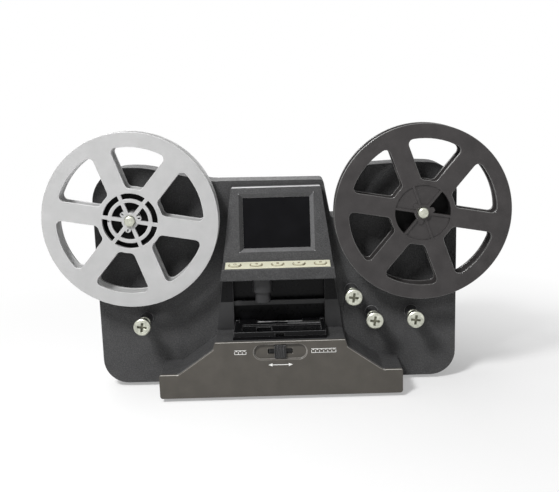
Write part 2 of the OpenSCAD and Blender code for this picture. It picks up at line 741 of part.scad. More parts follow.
// Film gate
shelf_z = gate_z - gate_t;
shelf_front = gate_front + 8;
gate_back = hinge_y - 5;
ear_t = 3;
ear_half = 3;
knuckle_d = pin_d + 2.6;
knuckle_in = gate_half / 2;
knuckle_out = gate_half - gate_gap - ear_t - play;
claw_x = 8;
claw_y = film_y - 3;
claw_slot = 2.4;
lamp_w = 5;
claw_t = 2;
claw_pivot_x = 28;
claw_pivot_z = shelf_z - 8;
claw_arm = 3;
cam_d = 9;
cam_throw = 0.8;
cam_x = 14;
cam_z = claw_pivot_z - claw_arm / 2 - play - cam_d / 2 - cam_throw;
claw_motor_d = 18;
claw_motor_back = -3;
claw_motor_len = 13;
module gate_frame() color([0.05, 0.05, 0.05]) at_plate() difference() {
    union() {
        block(-pad_x - pad_d / 2, pad_x + pad_d / 2, frame_y, frame_y + frame_t, shelf_z - frame_t,
              hood_low_z - wall / 2);
        block(-gate_half + touch, gate_half - touch, shelf_front, frame_y + frame_t,
              shelf_z - frame_t, shelf_z);
        for (s = [-1, 1]) translate([s * (gate_half - gate_gap - ear_t / 2), 0, 0])
            block(-ear_t / 2, ear_t / 2, hinge_y - ear_half, hinge_y + ear_half, shelf_z - frame_t,
                  hinge_z + ear_half);
        block(claw_pivot_x - pivot_half, claw_pivot_x + pivot_half, claw_y + claw_t + play,
              claw_y + claw_t + pivot_deep,
              claw_pivot_z - 3, shelf_z - frame_t / 2);
        block(cam_x - claw_motor_d / 2, cam_x + claw_motor_d / 2, claw_motor_back, claw_motor_back + frame_t,
              cam_z - claw_motor_d / 2, shelf_z - frame_t / 2);
    }
    translate([0, hinge_y, hinge_z]) rotate([0, 90, 0])
        cylinder(d = pin_d + touch / 2, h = 4 * gate_half, center = true);
    rod_y(claw_pivot_x, claw_y, claw_pivot_z, pin_d + touch / 2, 10 * claw_t);
    block(lens_x - aperture_w, lens_x + aperture_w, film_y - aperture_d / 2 - 1, film_y + aperture_d / 2 + 1,
          0, shelf_z + cut);
    block(claw_x - 3, claw_x + 3, shelf_front - cut, claw_y + 2 * claw_t, 0, shelf_z + cut);
}
module gate_plate() color([0.55, 0.55, 0.57]) at_plate() difference() {
    block(-gate_half + touch, gate_half - touch, gate_front + touch, gate_back, shelf_z, gate_z);
    block(-2 * gate_half, 2 * gate_half, film_y - film_half, film_y + film_half,
          gate_z - film_gap / 2, gate_z + cut);
    block(lens_x - aperture_w / 2, lens_x + aperture_w / 2, film_y - aperture_d / 2, film_y + aperture_d / 2,
          0, gate_z + cut);
    block(claw_x - claw_slot, claw_x + claw_slot, claw_y - claw_t / 2 - play, claw_y + claw_t / 2 + play,
          0, gate_z + cut);
}
bar_w = 3;
field_sunk = 1.3;
tab_root = 2;
tab_w = 7;
module presser_frame() color([0.09, 0.09, 0.09]) at_plate() difference() {
    union() {
        block(-gate_half + gate_gap, gate_half - gate_gap, gate_front + gate_gap, gate_back,
              presser_z, presser_top);
        for (s = [-1, 1]) translate([s * (knuckle_in + knuckle_out) / 2, 0, 0]) {
            block((knuckle_in - knuckle_out) / 2, (knuckle_out - knuckle_in) / 2, gate_back - 1, hinge_y,
                  presser_z, presser_top);
            translate([0, hinge_y, hinge_z]) rotate([0, 90, 0])
                cylinder(d = knuckle_d, h = knuckle_out - knuckle_in, center = true);
        }
    }
    block(-gate_half + gate_gap + 2 * bar_w, gate_half - gate_gap - bar_w, gate_front + gate_gap + bar_w,
          gate_back - 2 * bar_w, presser_top - field_sunk, presser_top + cut);
    block(-tab_w / 2, tab_w / 2, gate_front, gate_front + gate_gap + tab_root, presser_z - cut,
          presser_top - field_sunk);
    block(lens_x - aperture_w / 2 - 1, lens_x + aperture_w / 2 + 1, film_y - aperture_d / 2 - 1,
          film_y + aperture_d / 2 + 1, 0, presser_top + cut);
    block(claw_x - claw_slot, claw_x + claw_slot, claw_y - claw_t / 2 - play, claw_y + claw_t / 2 + play, 0,
          presser_z + claw_t);
    translate([0, hinge_y, hinge_z]) rotate([0, 90, 0])
        cylinder(d = pin_d + 2 * run_gap, h = 4 * gate_half, center = true);
}
module presser_pin() color("silver") at_plate() translate([0, hinge_y, hinge_z]) rotate([0, 90, 0])
    cylinder(d = pin_d, h = 2 * (gate_half - gate_gap), center = true);
spring_t = 0.4;
module film_spring() color("silver") at_plate()
    block(6, gate_half - gate_gap - bar_w, gate_back - 2 * bar_w + 1, gate_back - 1, presser_top,
          presser_top + spring_t);
diffuser_t = 1.4;
module diffuser() color("white") at_plate()
    block(lens_x - aperture_w + touch, lens_x + aperture_w - touch, film_y - aperture_d / 2 - 1 + touch,
          film_y + aperture_d / 2 + 1 - touch, shelf_z - diffuser_t, shelf_z);
module light_board() color([0.1, 0.35, 0.2]) at_plate() {
    block(lens_x - aperture_w - 3, lens_x + aperture_w + 3, film_y - aperture_d, film_y + aperture_d,
          shelf_z - frame_t - thin_board, shelf_z - frame_t);
    block(lens_x - lamp_w / 2, lens_x + lamp_w / 2, film_y - lamp_w / 2, film_y + lamp_w / 2,
          shelf_z - frame_t, shelf_z - frame_t + switch_tall);
}

// Film claw
claw_bore = pin_d + 2 * run_gap;
module claw() color("silver") at_plate() difference() {
    union() {
        block(claw_x - 1, claw_pivot_x, claw_y - claw_t / 2, claw_y + claw_t / 2, claw_pivot_z - claw_arm / 2,
              claw_pivot_z + claw_arm / 2);
        block(claw_x - 1, claw_x + 1, claw_y - claw_t / 2, claw_y + claw_t / 2, claw_pivot_z, gate_z - play);
        rod_y(claw_pivot_x, claw_y - claw_t / 2, claw_pivot_z, 2 * pin_d, claw_t);
    }
    rod_y(claw_pivot_x, claw_y - claw_t, claw_pivot_z, claw_bore, 2 * claw_t);
}
module claw_pin() color("silver") at_plate()
    rod_y(claw_pivot_x, claw_y - claw_t, claw_pivot_z, pin_d, 3 * claw_t + 2);
module claw_cam() color([0.8, 0.8, 0.75]) at_plate() {
    rod_y(cam_x + cam_throw, claw_y - claw_t / 2, cam_z, cam_d, claw_t);
    rod_y(cam_x, claw_y - claw_t / 2, cam_z, shaft_d, claw_motor_back - claw_y - 3);
}
module claw_motor() color([0.7, 0.7, 0.72]) at_plate() difference() {
    rod_y(cam_x, claw_motor_back - claw_motor_len, cam_z, claw_motor_d, claw_motor_len);
    rod_y(cam_x, claw_motor_back - claw_motor_len - cut, cam_z, shaft_d + 2 * run_gap, claw_motor_len);
}

// Film guides
cross_w = 1.7;
cross_depth = 1.3;
head_edge = 0.6;
head_slope = 0.8;
screw_start = 1.5;
screw_in_head = 0.5;
cross_turn = 8;
cross_span = 0.56;
module guide_screws() color([0.78, 0.79, 0.72]) at_plate() {
    for (g = guide_places) difference() {
        translate([g.x, 0, g.y]) rotate([90, 0, 0]) {
            translate([0, 0, -head_back]) cylinder(d = head_d, h = head_t - head_edge);
            translate([0, 0, -head_back + head_t - head_edge])
                cylinder(d1 = head_d, d2 = head_d - 2 * head_slope, h = head_edge);
            translate([0, 0, screw_start])
                cylinder(d = screw_d, h = -head_back - screw_start + screw_in_head);
        }
        for (a = [0, 90]) translate([g.x, head_back - head_t, g.y]) rotate([0, a + cross_turn, 0])
            cube([head_d * cross_span, 2 * cross_depth, cross_w], center = true);
    }
}
roller_rim = 0.5;
roller_lip = 0.8;
roller_groove = 1.3;
module guide_roller(i) color([0.75, 0.76, 0.7]) at_plate()
    translate([guide_places[i].x, 0, guide_places[i].y])
    rotate([90, 0, 0]) translate([0, 0, -roller_back]) rotate_extrude()
        polygon([[screw_d / 2 + run_gap, 0], [roller_d / 2, 0], [roller_d / 2, roller_lip],
                 [roller_d / 2 - roller_rim, roller_groove],
                 [roller_d / 2 - roller_rim, roller_len - roller_groove],
                 [roller_d / 2, roller_len - roller_lip], [roller_d / 2, roller_len],
                 [screw_d / 2 + run_gap, roller_len]]);

// Spindles and drive
gear_behind = 14;
gear_back = bush_back + play + gear_behind;
collar_d = 12;
collar_rim = 2;
washer_rim = 3;
washer_t = 1.2;
clip_t = 2;
supply_over = 1;
supply_back = bush_back + play + clip_t + supply_over;
tip_round = 1.6;
// Half profile of a spindle as [radius, distance in front of the plate]
function spindle_profile(back, collar_end) = concat(
    [[0, -back], [spindle_d / 2, -back], [spindle_d / 2, collar_end], [collar_d / 2, collar_end],
     [collar_d / 2, reel_gap - shoulder_t], [shoulder_d / 2, reel_gap - shoulder_t],
     [shoulder_d / 2, reel_gap], [spindle_d / 2, reel_gap]],
    arc([spindle_d / 2 - tip_round, spindle_tip - reel_front_y - tip_round], tip_round, 0, 90, 5),
    [[0, spindle_tip - reel_front_y]]);
module spin(x) {
    translate([x, 0, reel_z]) rotate([90, 0, 0]) rotate_extrude() children();
}
module bush(x) difference() {
    union() {
        rod_y(x, -bush_flange_t, reel_z, bush_d + 4, bush_flange_t);
        rod_y(x, -touch, reel_z, bush_d, bush_back + touch);
    }
    rod_y(x, -cut - bush_flange_t, reel_z, spindle_d + 2 * run_gap, bush_back + 3 * cut);
}
module ring_y(x, y, d, bore, len) difference() {
    rod_y(x, y, reel_z, d, len);
    rod_y(x, y - cut, reel_z, bore, len + 2 * cut);
}
module supply_spindle() color([0.75, 0.76, 0.7]) at_plate()
    spin(-reel_x) polygon(spindle_profile(supply_back, bush_flange_t + play + washer_t));
module takeup_spindle() color([0.75, 0.76, 0.7]) at_plate()
    spin(reel_x) polygon(spindle_profile(gear_back + gear_w, bush_flange_t + play));
module supply_bush() color("goldenrod") at_plate() bush(-reel_x);
module takeup_bush() color("goldenrod") at_plate() bush(reel_x);
module supply_clip() color("silver") at_plate()
    ring_y(-reel_x, bush_back + play, collar_d + collar_rim, spindle_d + touch, clip_t);
module friction_washer() color([0.5, 0.2, 0.2]) at_plate()
    ring_y(-reel_x, -bush_flange_t - play - washer_t, collar_d + washer_rim, spindle_d + touch, washer_t);
pressure = 22;
slack = 0.25;
mesh_drop = tooth_module * (gear_teeth + pinion_teeth) / 2;
module takeup_gear() color([0.9, 0.88, 0.8]) at_plate() difference() {
    union() {
        translate([reel_x, 0, reel_z]) along_y(gear_back, gear_w)
            polygon(gear_outline(tooth_module, gear_teeth, pressure, slack));
        rod_y(reel_x, bush_back + play, reel_z, collar_d + collar_rim,
              gear_back + gear_w / 2 - bush_back - play);
    }
    rod_y(reel_x, bush_back, reel_z, spindle_d + touch, gear_back);
}
pinion_phase = (pinion_teeth % 2 == 0 ? 90 - 180 / pinion_teeth : 90)
    + (gear_teeth % 4 == 0 ? 0 : 180 / pinion_teeth);
module motor_pinion() color("goldenrod") at_plate() {
    translate([reel_x, 0, reel_z - mesh_drop]) along_y(gear_back, gear_w) rotate(pinion_phase)
        polygon(gear_outline(tooth_module, pinion_teeth, pressure, slack));
    rod_y(reel_x, motor_len / 2, reel_z - mesh_drop, shaft_d, gear_back + gear_w - motor_len / 2);
}
module takeup_motor() color([0.7, 0.7, 0.72]) at_plate() difference() {
    rod_y(reel_x, wall, reel_z - mesh_drop, motor_d, motor_len);
    rod_y(reel_x, motor_len / 2 - play, reel_z - mesh_drop, shaft_d + 2 * run_gap, gear_back);
}

// Reels
half_turn = 180 / window_count;
bore_d = spindle_d + 2 * bore_gap;
hub_r = drum_d / 2 - drum_wall;
hook_r = 2;
hook_slot = 1;
hook_out = 0.6;
hook_count = 3;
hook_turn = 15;
rib_turn = window_turn + half_turn;
module windows() {
    w = window_half(half_turn, spoke_w / 2, window_round);
    for (k = [0:window_count - 1]) rotate(window_turn + 2 * half_turn * k) polygon(concat(w, mirrored(w)));
}
module hooks() {
    for (k = [0:hook_count - 1]) rotate(hook_turn + 360 / hook_count * k)
        translate([hub_boss_d / 2 + hook_out, 0]) circle(hook_r);
}
module rim_2d() difference() {
    circle(d = reel_d, $fn = 120);
    circle(hub_r);
    windows();
}
module place_reel(x, y, len) {
    translate([x, 0, reel_z]) along_y(y, len) children();
}
module hub_sleeve(x) difference() {
    rod_y(x, reel_front_y, reel_z, hub_boss_d, reel_w - flange_t);
    rod_y(x, reel_front_y - cut, reel_z, bore_d, reel_w + 2 * cut);
}
module supply_flange_front() color([0.76, 0.76, 0.77]) at_plate() {
    place_reel(-reel_x, reel_front_y, flange_t) difference() {
        union() {
            rim_2d();
            difference() {
                circle(d = hub_ring_d + hub_ring_w);
                circle(d = hub_ring_d - hub_ring_w);
            }
            for (k = [0:window_count - 1]) rotate(rib_turn + 2 * half_turn * k)
                translate([0, -hub_spoke_w / 2]) square([hub_r + touch, hub_spoke_w]);
            hooks();
        }
        circle(d = hub_boss_d - touch);
        for (k = [0:hook_count - 1]) rotate(hook_turn + 360 / hook_count * k)
            translate([hub_boss_d / 2, -hook_slot / 2]) square([hook_r, hook_slot]);
    }
    hub_sleeve(-reel_x);
}
module takeup_flange_front() color([0.24, 0.235, 0.235]) at_plate() {
    place_reel(reel_x, reel_front_y, flange_t) {
        rim_2d();
        difference() {
            union() {
                for (k = [0:window_count - 1]) rotate(rib_turn + 2 * half_turn * k)
                    translate([0, -hub_rib_w / 2]) square([hub_r + touch, hub_rib_w]);
                hooks();
            }
            circle(d = hub_boss_d - touch);
        }
    }
    place_reel(reel_x, reel_front_y + hub_sunk, flange_t - hub_sunk) difference() {
        circle(hub_r + touch);
        circle(d = hub_boss_d - touch);
        for (a = [0, 180]) rotate(rib_turn - 2 * half_turn + a)
            polygon(concat([[0, 0]], arc([0, 0], hub_r, 0, 2 * half_turn, 8)));
    }
    hub_sleeve(reel_x);
}
module rear_flange(x) {
    difference() {
        place_reel(x, -reel_gap - flange_t, flange_t) difference() {
            circle(d = reel_d, $fn = 120);
            windows();
        }
        rod_y(x, -reel_gap - flange_t - cut, reel_z, bore_d, flange_t + 2 * cut);
    }
}
module drum(x) {
    place_reel(x, reel_front_y + flange_t, reel_w - 2 * flange_t) difference() {
        circle(d = drum_d);
        circle(hub_r);
    }
}
module supply_drum() color([0.7, 0.7, 0.71]) at_plate() drum(-reel_x);
module supply_flange_rear() color([0.76, 0.76, 0.77]) at_plate() rear_flange(-reel_x);
module takeup_drum() color([0.2, 0.2, 0.2]) at_plate() drum(reel_x);
module takeup_flange_rear() color([0.24, 0.235, 0.235]) at_plate() rear_flange(reel_x);

// Electronics at the back
module main_board() color([0.1, 0.35, 0.2]) at_plate()
    block(board_x - board_w / 2, board_x + board_w / 2, board_back - board_t, board_back,
          board_z - board_h / 2, board_z + board_h / 2);
module card_slot() color("silver") at_plate() difference() {
    socket_block(card_x, card_w, card_h, 0);
    translate([0, 2 * board_t, 0]) socket_block(card_x, card_w - 2 * card_rim_w, card_h - 2 * card_rim_h, 0);
}
module data_socket() color("silver") at_plate() difference() {
    socket_block(data_x, data_w, data_h, 0);
    translate([0, 2 * board_t, 0]) socket_block(data_x, data_w - 2 * data_rim, data_h - 2 * data_rim, 0);
}
module power_socket() color([0.06, 0.06, 0.06]) at_plate() {
    difference() {
        socket_block(power_x, power_w, power_h, 0);
        rod_y(power_x, board_back + board_t, board_z, power_hole_d, board_gap + wall);
    }
    rod_y(power_x, board_back, board_z, power_hole_d / 3, board_gap);
}

front_cover();
base_cover();
rear_cover();
bottom_cover();
feet();
cover_screws();
front_panel();
select_slider();
select_switch();
hood();
screen_glass();
screen_module();
button_strip();
button(1);  // button_1
button(2);  // button_2
button(3);  // button_3
button(4);  // button_4
button(5);  // button_5
button_board();
gate_frame();
lens_barrel();
lens_glass();
sensor_board();
gate_plate();
presser_frame();
presser_pin();
film_spring();
diffuser();
light_board();
claw();
claw_pin();
claw_cam();
claw_motor();
guide_screws();
guide_roller(0);  // guide_roller_left
guide_roller(1);  // guide_roller_high
guide_roller(2);  // guide_roller_near
guide_roller(3);  // guide_roller_far
supply_spindle();
supply_bush();
supply_clip();
friction_washer();
takeup_spindle();
takeup_bush();
takeup_gear();
takeup_motor();
motor_pinion();
supply_flange_front();
supply_drum();
supply_flange_rear();
takeup_flange_front();
takeup_drum();
takeup_flange_rear();
main_board();
card_slot();
data_socket();
power_socket();
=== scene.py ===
import json
import math

import bmesh
import bpy
from mathutils import Matrix, Vector


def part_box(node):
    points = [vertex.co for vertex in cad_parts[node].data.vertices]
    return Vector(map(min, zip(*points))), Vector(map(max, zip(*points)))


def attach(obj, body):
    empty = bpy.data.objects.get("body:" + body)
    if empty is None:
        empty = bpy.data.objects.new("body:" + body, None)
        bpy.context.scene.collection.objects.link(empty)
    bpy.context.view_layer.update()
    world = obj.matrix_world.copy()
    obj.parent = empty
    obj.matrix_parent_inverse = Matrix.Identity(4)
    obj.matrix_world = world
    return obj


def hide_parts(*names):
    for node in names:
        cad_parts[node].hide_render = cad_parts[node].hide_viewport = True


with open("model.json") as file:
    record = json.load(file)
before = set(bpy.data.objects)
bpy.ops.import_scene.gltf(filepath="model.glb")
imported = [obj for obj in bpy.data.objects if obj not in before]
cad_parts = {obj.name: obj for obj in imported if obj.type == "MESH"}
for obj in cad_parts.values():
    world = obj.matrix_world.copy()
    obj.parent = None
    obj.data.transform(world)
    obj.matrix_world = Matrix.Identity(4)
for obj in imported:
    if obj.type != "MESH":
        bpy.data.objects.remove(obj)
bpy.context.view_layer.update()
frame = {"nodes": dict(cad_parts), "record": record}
nodes = frame["nodes"]
MM = 0.001

# Camera fitted to the photo, image taken as 559 by 492
IMAGE_W = 559
FOCAL_PX = 850.0
SENSOR_MM = 36.0
CAMERA_AT = Vector((5.4, -635.5, 235.3)) * MM
YAW = -0.0062
PITCH = 0.2015
ROLL = -0.03

# Levels and sizes shared with the CAD part, in millimetres in the shared frame
PANEL_FACE_Y = -47.0
CHEEK_FACE_Y = -14.0
GATE_HALF = 34.2
RAIL_LOW = 61.0
RAIL_HIGH = 68.0
SELECT_Z = 36.6
LEDGE_AT = (0.0, -35.25, 98.8)
LEDGE_TILT = math.radians(12.63)
BUTTON_TOP = 1.4
BUTTON_PITCH = 15.5
BUTTON_W = 7.6
BUTTON_D = 4.6
STRIP_TOP = 0.5
PRINT_T = 0.05
HUB_R = 20.0
LINER_HOLE_R = 6.4
LINER_T = 0.25
LINER_GAP = 0.1
LINER_INSET = 0.4
REEL_X = 105.0
REEL_Z = 134.0


# Material helpers
def new_material(name):
    mat = bpy.data.materials.new(name)
    mat.use_nodes = True
    tree = mat.node_tree
    return mat, tree, tree.nodes["Principled BSDF"]


def add(tree, kind, **values):
    node = tree.nodes.new(kind)
    for key, value in values.items():
        if hasattr(node, key):
            setattr(node, key, value)
        else:
            node.inputs[key.replace("_", " ")].default_value = value
    return node


def noise(tree, scale, detail=4.0, rough=0.55, stretch=None):
    coords = add(tree, "ShaderNodeTexCoord")
    tex = add(tree, "ShaderNodeTexNoise", Scale=scale, Detail=detail, Roughness=rough)
    if stretch:
        mapping = add(tree, "ShaderNodeMapping")
        mapping.inputs["Scale"].default_value = stretch
        tree.links.new(coords.outputs["Object"], mapping.inputs["Vector"])
        tree.links.new(mapping.outputs["Vector"], tex.inputs["Vector"])
    else:
        tree.links.new(coords.outputs["Object"], tex.inputs["Vector"])
    return tex.outputs["Fac"]


def cells(tree, scale):
    coords = add(tree, "ShaderNodeTexCoord")
    tex = add(tree, "ShaderNodeTexVoronoi", Scale=scale)
    tree.links.new(coords.outputs["Object"], tex.inputs["Vector"])
    return tex.outputs["Distance"]


def ramp(tree, fac, stops):
    node = add(tree, "ShaderNodeValToRGB")
    line = node.color_ramp.elements
    while len(line) < len(stops):
        line.new(0.5)
    for element, (place, colour) in zip(line, stops):
        element.position = place
        element.color = (*colour, 1.0)
    tree.links.new(fac, node.inputs["Fac"])
    return node.outputs["Color"]


def spread(tree, fac, low, high, start=0.3, end=0.7):
    node = add(tree, "ShaderNodeMapRange")
    node.inputs["From Min"].default_value = start
    node.inputs["From Max"].default_value = end
    node.inputs["To Min"].default_value = low
    node.inputs["To Max"].default_value = high
    tree.links.new(fac, node.inputs["Value"])
    return node.outputs["Result"]


def bumped(tree, bsdf, height, strength, depth):
    node = add(tree, "ShaderNodeBump", Strength=strength, Distance=depth)
    tree.links.new(height, node.inputs["Height"])
    if bsdf.inputs["Normal"].is_linked:
        tree.links.new(bsdf.inputs["Normal"].links[0].from_socket, node.inputs["Normal"])
    tree.links.new(node.outputs["Normal"], bsdf.inputs["Normal"])


def blended(tree, first, second, kind):
    node = add(tree, "ShaderNodeMixRGB", blend_type=kind)
    node.inputs["Fac"].default_value = 1.0
    tree.links.new(first, node.inputs["Color1"])
    tree.links.new(second, node.inputs["Color2"])
    return node.outputs["Color"]


def seen_rays(tree):
    """1 for rays from the camera and for those that reflect or pass through, else 0."""
    path = add(tree, "ShaderNodeLightPath")
    seen = path.outputs["Is Camera Ray"]
    for ray in ("Is Glossy Ray", "Is Transmission Ray"):
        either = add(tree, "ShaderNodeMath", operation="MAXIMUM")
        tree.links.new(seen, either.inputs[0])
        tree.links.new(path.outputs[ray], either.inputs[1])
        seen = either.outputs["Value"]
    return seen


def shade(colour, factor):
    return tuple(min(1.0, c * factor) for c in colour)


def moulded(name, colour, rough, grain=0.0, grain_scale=1300, mottle=0.12, specks=0.0, level=0.5,
            fleck=0.0):
    """Moulded plastic with clouded colour, fine grain and a few pale dust specks."""
    mat, tree, bsdf = new_material(name)
    stops = [(0.3, shade(colour, 1 - mottle)), (0.7, shade(colour, 1 + mottle))]
    tint = ramp(tree, noise(tree, 90, 5.0), stops)
    if fleck:
        pebble = ramp(tree, noise(tree, grain_scale * 0.8, 3.0, 0.7),
                      [(0.36, (1 - fleck,) * 3), (0.5, (0.9,) * 3), (0.66, (1 + fleck,) * 3)])
        tint = blended(tree, tint, pebble, "MULTIPLY")
    if specks:
        dots = ramp(tree, noise(tree, 900, 2.0), [(0.70, (0, 0, 0)), (0.76, (specks,) * 3)])
        tint = blended(tree, tint, dots, "ADD")
    tree.links.new(tint, bsdf.inputs["Base Color"])
    polish = spread(tree, noise(tree, 260, 3.0), rough - 0.06, rough + 0.06)
    tree.links.new(polish, bsdf.inputs["Roughness"])
    bsdf.inputs["Specular IOR Level"].default_value = level
    if grain:
        bumped(tree, bsdf, cells(tree, grain_scale), grain, 0.0002)
        bumped(tree, bsdf, noise(tree, grain_scale * 2.2, 2.0), grain * 0.7, 0.0001)
    return mat


def painted_lip_highlight(mat, pale, y_end):
    """Turns a material pale in front of a level of Y, in millimetres: a painted highlight along a front
    edge.
    """
    tree = mat.node_tree
    base = tree.nodes["Principled BSDF"].inputs["Base Color"]
    coords = add(tree, "ShaderNodeTexCoord")
    split = add(tree, "ShaderNodeSeparateXYZ")
    tree.links.new(coords.outputs["Object"], split.inputs["Vector"])
    mix = add(tree, "ShaderNodeMixRGB")
    mix.inputs["Color2"].default_value = (*pale, 1.0)
    share = spread(tree, split.outputs["Y"], 1.0, 0.0, (y_end - 0.3) * MM, y_end * MM)
    tree.links.new(share, mix.inputs["Fac"])
    tree.links.new(base.links[0].from_socket, mix.inputs["Color1"])
    tree.links.new(mix.outputs["Color"], base)


def metal(name, colour, rough, wear=0.15, lines=None):
    """Metal with worn, clouded polish and fine turning or brushing lines."""
    mat, tree, bsdf = new_material(name)
    bsdf.inputs["Metallic"].default_value = 1.0
    stops = [(0.35, shade(colour, 1 - wear)), (0.65, shade(colour, 1 + wear * 0.5))]
    tree.links.new(ramp(tree, noise(tree, 380, 5.0), stops), bsdf.inputs["Base Color"])
    polish = spread(tree, noise(tree, 700, 4.0), rough - 0.08, rough + 0.1)
    tree.links.new(polish, bsdf.inputs["Roughness"])
    if lines:
        bumped(tree, bsdf, noise(tree, 900, 2.0, stretch=lines), 0.12, 0.0001)
    return mat


plate_black = moulded("plate_black", (0.058, 0.058, 0.059), 0.5, grain=0.8, grain_scale=1250, specks=0.03,
                      level=0.2, fleck=0.3)
panel_satin = moulded("panel_satin", (0.073, 0.067, 0.058), 0.36, grain=0.12, grain_scale=2400, mottle=0.1,
                      level=0.27)
gate_black = moulded("gate_black", (0.004, 0.004, 0.0045), 0.3, grain=0.06, grain_scale=1800, level=0.12)
knob_black = moulded("knob_black", (0.008, 0.008, 0.008), 0.42, grain=0.1, grain_scale=2000, level=0.25)
hood_black = moulded("hood_black", (0.048, 0.048, 0.049), 0.5, grain=0.8, grain_scale=1250, specks=0.03,
                     level=0.27, fleck=0.32)
barrel_black = moulded("barrel_black", (0.022, 0.022, 0.023), 0.4, grain=0.1, grain_scale=1800, level=0.3)
cream = moulded("cream", (0.64, 0.63, 0.49), 0.5, grain=0.05, grain_scale=2200, mottle=0.06, level=0.3)
reel_silver = moulded("reel_silver", (0.41, 0.41, 0.41), 0.42, grain=0.08, grain_scale=1700, mottle=0.05,
                      level=0.35)
reel_black = moulded("reel_black", (0.04, 0.037, 0.037), 0.36, grain=0.12, grain_scale=1500, mottle=0.18,
                     specks=0.05, level=0.26)
rubber = moulded("rubber", (0.018, 0.018, 0.018), 0.75, grain=0.3, grain_scale=1500)
felt = moulded("felt", (0.25, 0.05, 0.05), 0.95, grain=0.9, grain_scale=2600, mottle=0.3)
board_green = moulded("board_green", (0.015, 0.09, 0.035), 0.45, grain=0.1, mottle=0.3)
white_plastic = moulded("white_plastic", (0.75, 0.75, 0.72), 0.5, grain=0.05, mottle=0.04)
print_white = moulded("print_white", (0.8, 0.8, 0.78), 0.6, grain=0.1, mottle=0.05)
print_brown = moulded("print_brown", (0.16, 0.11, 0.06), 0.6, grain=0.1, mottle=0.15)
nickel = metal("nickel", (0.55, 0.56, 0.48), 0.32, wear=0.28, lines=(1, 1, 14))
steel = metal("steel", (0.6, 0.6, 0.6), 0.34, lines=(1, 1, 14))
brass = metal("brass", (0.72, 0.53, 0.24), 0.32)


def screen_material():
    mat, tree, bsdf = new_material("screen_dark")
    stops = [(0.3, (0.003, 0.003, 0.0035)), (0.7, (0.006, 0.006, 0.007))]
    tree.links.new(ramp(tree, noise(tree, 40, 4.0), stops), bsdf.inputs["Base Color"])
    tree.links.new(spread(tree, noise(tree, 300, 5.0), 0.08, 0.12), bsdf.inputs["Roughness"])
    bsdf.inputs["Specular IOR Level"].default_value = 0.05
    return mat


def lens_material():
    mat, tree, bsdf = new_material("lens_coated")
    bsdf.inputs["Transmission Weight"].default_value = 0.85
    bsdf.inputs["IOR"].default_value = 1.6
    stops = [(0.3, (0.5, 0.6, 0.8)), (0.7, (0.6, 0.7, 0.85))]
    tree.links.new(ramp(tree, noise(tree, 200, 3.0), stops), bsdf.inputs["Base Color"])
    tree.links.new(spread(tree, noise(tree, 500, 3.0), 0.02, 0.07), bsdf.inputs["Roughness"])
    return mat


# The record's slots and the looks that stand for them
looks = {
    "plate_plastic": plate_black, "panel_plastic": panel_satin, "gate_plastic": gate_black,
    "knob_plastic": knob_black, "key_plastic": cream, "reel_silver": reel_silver, "reel_black": reel_black,
    "screen_dark": screen_material(), "nickel": nickel, "steel": steel, "brass": brass, "rubber": rubber,
    "felt": felt, "board": board_green, "white_plastic": white_plastic, "lens_clear": lens_material(),
}
slot_of = {entry["node"]: entry["material_slot"] for entry in frame["record"]["subparts"]}
own_looks = {"lens_barrel": barrel_black, "hood": hood_black}


def look_of(name):
    return own_looks.get(name, looks[slot_of[name]])


for name, obj in nodes.items():
    mat = look_of(name)
    if not obj.material_slots:
        obj.data.materials.append(mat)
    for place in obj.material_slots:
        place.material = mat


def linked(name, data):
    obj = bpy.data.objects.new(name, data)
    bpy.context.collection.objects.link(obj)
    return obj


# Soft edges: a rounded copy stands for each of the listed CAD nodes, with lengths in millimetres
WELD = 0.004
FLAT_DEG = 0.4
SHARP_DEG = 28.0
CREASE_DEG = 15.0
ROUND_STEPS = 2
FLAT_WEIGHT = 70
# Room that a rounding needs along the edges beside it, in widths
RUNS_ON = 0.8
ROOM_IN_BEND = 1.3
ROOM_SHARED = 2.4
ROOM_ALONE = 1.2
# Places of the materials on a rounded copy: its own look comes first
ROUNDED = 1
PATCH = 2
PATCH_LOW = 3
body_of = {name: body for body, names in frame["record"]["behaviour"]["bodies"].items() for name in names}


def along(edge, vert):
    return (edge.other_vert(vert).co - vert.co).normalized()


def has_room(edge, width, sharp):
    """Whether the faces beside an edge are wide enough for it to be rounded."""
    for joint in edge.verts:
        for near in joint.link_edges:
            if near == edge:
                continue
            length = near.calc_length()
            straight = -along(near, joint).dot(along(edge, joint))
            if near in sharp and straight > RUNS_ON:
                if length < ROOM_IN_BEND * width * math.acos(min(1.0, straight)):
                    return False
                continue
            crowded = any(e in sharp for e in near.other_vert(joint).link_edges)
            if length < width * (ROOM_SHARED if crowded else ROOM_ALONE):
                return False
    return True


